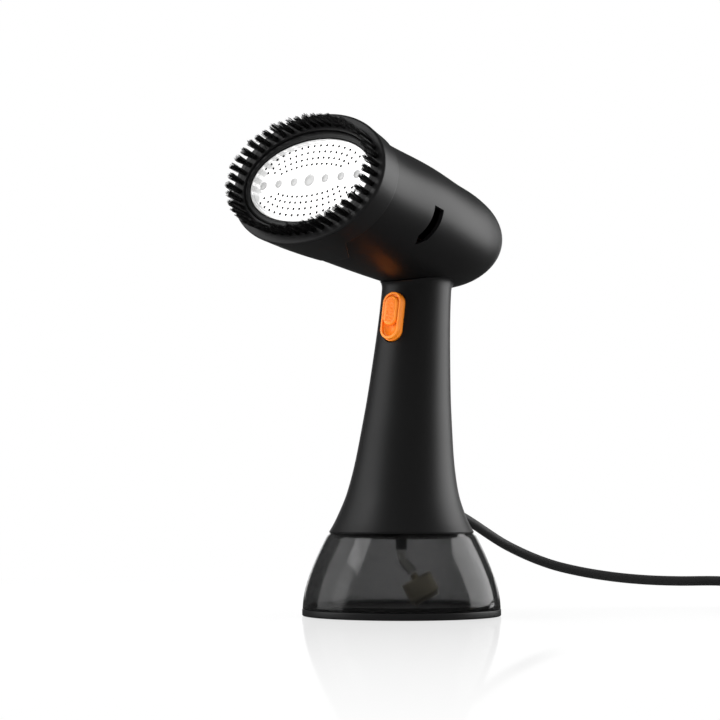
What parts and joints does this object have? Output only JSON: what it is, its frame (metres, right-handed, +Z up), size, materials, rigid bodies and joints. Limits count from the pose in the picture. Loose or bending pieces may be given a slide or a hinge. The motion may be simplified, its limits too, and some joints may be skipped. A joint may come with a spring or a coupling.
{
  "type": "garment steamer",
  "caption": "Hand-held garment steamer with an oval steam head, clip-on bristle ring, orange trigger, flared handle and smoked water tank it stands on.",
  "frame": {"origin": "centre of the tank's underside, on the surface that it stands on", "axes": "+Z up, -Y the way the steam face looks, +X to the right of someone who faces the back of the head"},
  "size_m": [0.3009, 0.3375, 0.2738],
  "materials": {
    "satin_black_plastic": "satin moulded plastic",
    "gloss_black_plastic": "gloss moulded plastic",
    "inner_black_plastic": "plain moulded plastic",
    "orange_plastic": "satin moulded plastic",
    "white_steam_plate": "smooth non-stick coating",
    "bristle_nylon": "nylon filament",
    "smoked_clear_plastic": "clear smoked moulding",
    "clear_silicone": "clear silicone tube",
    "white_moulding": "plain moulding",
    "cast_aluminium": "die-cast",
    "bright_steel": "plain",
    "sinker_brass": "dull cast",
    "black_rubber": "matt",
    "board_green": "printed circuit board",
    "beige_ceramic": "unglazed",
    "copper_wire": "insulated wire"
  },
  "bodies": {
    "housing": {"head_shell": "satin_black_plastic", "handle_shell": "satin_black_plastic", "neck_sleeve": "inner_black_plastic", "nose_frame": "gloss_black_plastic", "steam_plate": "white_steam_plate", "boiler_block": "cast_aluminium", "boiler_cover": "cast_aluminium", "boiler_gasket": "white_moulding", "heating_element": "bright_steel", "thermostat": "beige_ceramic", "thermal_fuse": "beige_ceramic", "microswitch": "inner_black_plastic", "trigger_spring": "bright_steel", "chassis": "inner_black_plastic", "pump": "white_moulding", "pump_clamp": "inner_black_plastic", "control_board": "board_green", "inlet_tube": "clear_silicone", "outlet_tube": "clear_silicone", "supply_lead": "black_rubber", "heater_lead": "copper_wire", "foot_plate": "inner_black_plastic", "tank_seal": "black_rubber", "strain_relief": "black_rubber", "cord_clamp": "inner_black_plastic", "mains_lead": "black_rubber", "lead_coil": "black_rubber", "plug_body": "black_rubber", "plug_blade_left": "sinker_brass", "plug_blade_right": "sinker_brass", "cover_screw_1": "bright_steel", "cover_screw_2": "bright_steel", "cover_screw_3": "bright_steel", "cover_screw_4": "bright_steel"},
    "tank": {"tank_shell": "smoked_clear_plastic", "tank_base": "gloss_black_plastic"},
    "brush": {"brush_ring": "gloss_black_plastic", "bristles_right": "bristle_nylon", "bristles_top": "bristle_nylon", "bristles_left": "bristle_nylon", "bristles_bottom": "bristle_nylon"},
    "trigger": {"trigger": "orange_plastic"},
    "lock": {"lock_slider": "orange_plastic"},
    "sinker": {"suction_hose": "clear_silicone", "sinker": "sinker_brass", "sinker_filter": "beige_ceramic"}
  },
  "joints": [
    {"name": "tank_release", "type": "slide", "parent": "housing", "child": "tank", "axis": [0, 0, -1], "range_m": [0, 0.055]},
    {"name": "brush_ring_pull", "type": "slide", "parent": "housing", "child": "brush", "axis": [0, -0.9763, 0.2164], "range_m": [0, 0.045]},
    {"name": "trigger_press", "type": "slide", "parent": "housing", "child": "trigger", "axis": [0, 0.9842, -0.1772], "range_m": [0, 0.003], "stiffness_N_per_m": 500, "springref_m": -0.004, "deforming": ["trigger_spring"]},
    {"name": "lock_slide", "type": "slide", "parent": "trigger", "child": "lock", "axis": [0, -0.1772, -0.9842], "range_m": [0, 0.0054]},
    {"name": "sinker_swing", "type": "hinge", "parent": "housing", "child": "sinker", "pos_m": [0, 0, 0.0362], "axis": [-0.5848, 0.8112, 0], "range_deg": [-8, 8]}
  ]
}
